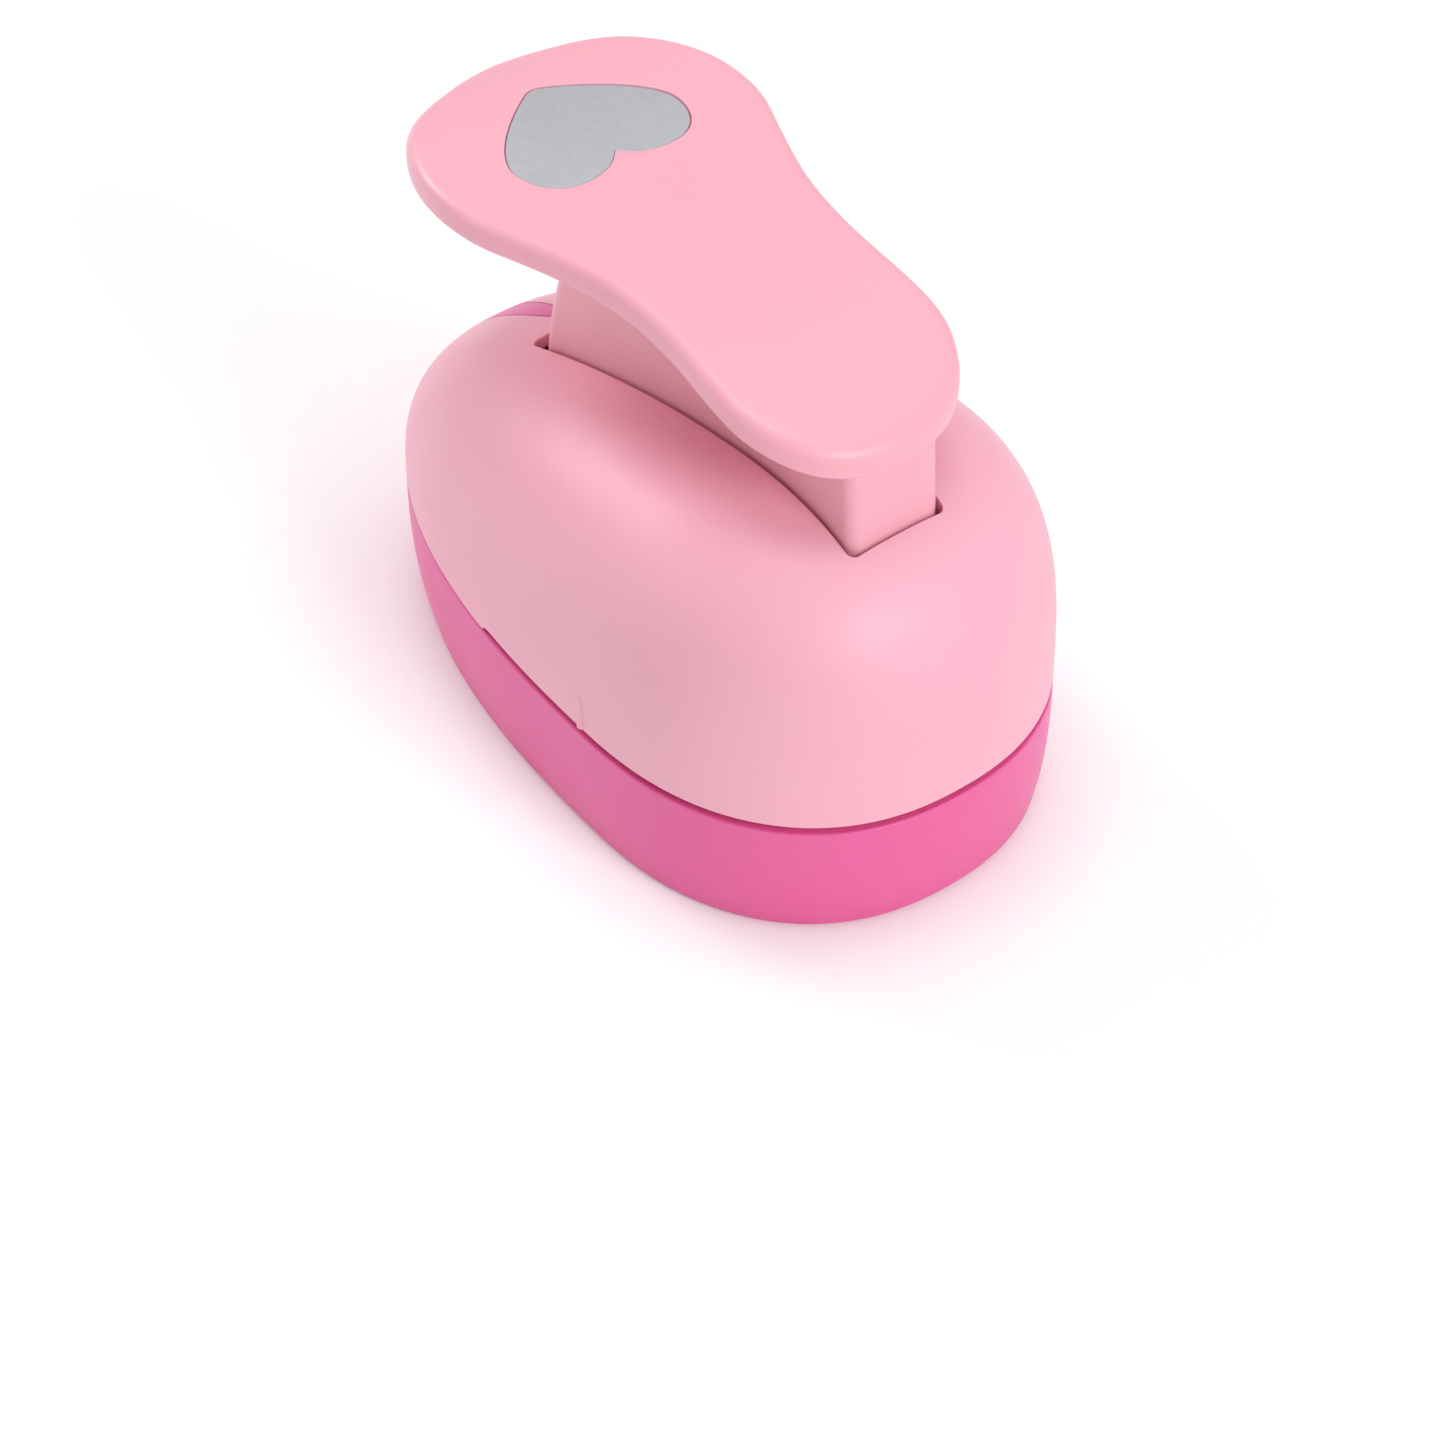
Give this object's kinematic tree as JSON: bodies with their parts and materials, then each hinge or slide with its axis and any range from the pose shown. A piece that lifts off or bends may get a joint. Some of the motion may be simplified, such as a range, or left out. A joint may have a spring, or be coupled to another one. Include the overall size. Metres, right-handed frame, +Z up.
{
  "type": "lever craft paper punch",
  "caption": "Hand lever paper punch with a heart-shaped die: rounded shell body with a three-sided paper slot, arched palm lever with a heart badge, sprung punch.",
  "frame": {"origin": "centre of the overall box, on the table under the base", "axes": "+X from the palm end to the nose, +Y across the body, +Z up"},
  "size_m": [0.13, 0.0798, 0.0952],
  "materials": {
    "housing": "satin moulded plastic, light pink",
    "casing": "smooth moulded plastic, magenta pink",
    "lever": "satin moulded plastic, light pink",
    "badge": "satin silver-grey inlay",
    "steel": "ground sheet steel",
    "ground_steel": "ground bar",
    "fastener": "zinc-plated screw",
    "spring": "drawn spring wire",
    "zinc": "die-cast zinc alloy with a ground cutting face"
  },
  "bodies": {
    "base": {"top_housing": "housing", "lower_casing": "casing", "die_plate": "steel", "spacer_plate": "steel", "guide_plate": "steel", "stack_screws": "fastener", "die_screws": "fastener", "guide_screws": "fastener", "case_screws": "fastener", "guide_posts": "ground_steel", "return_spring_left": "spring", "return_spring_right": "spring", "hinge_pin": "ground_steel"},
    "lever": {"lever": "lever", "heart_badge": "badge", "press_pin": "ground_steel"},
    "punch": {"punch_die": "zinc", "punch_plate": "steel", "punch_screws": "fastener"}
  },
  "joints": [
    {"name": "lever_press", "type": "hinge", "parent": "base", "child": "lever", "pos_m": [0.0469, 0, 0.045], "axis": [0, -1, 0], "range_deg": [0, 11], "stiffness_Nm_per_rad": 2.6, "springref_deg": -13.75},
    {"name": "punch_slide", "type": "slide", "parent": "base", "child": "punch", "axis": [0, 0, -1], "range_m": [0, 0.006], "deforming": ["return_spring_left", "return_spring_right"]}
  ],
  "couplings": [
    {"joint": "punch_slide", "follows": "lever_press", "m_per_rad": 0.0312}
  ]
}
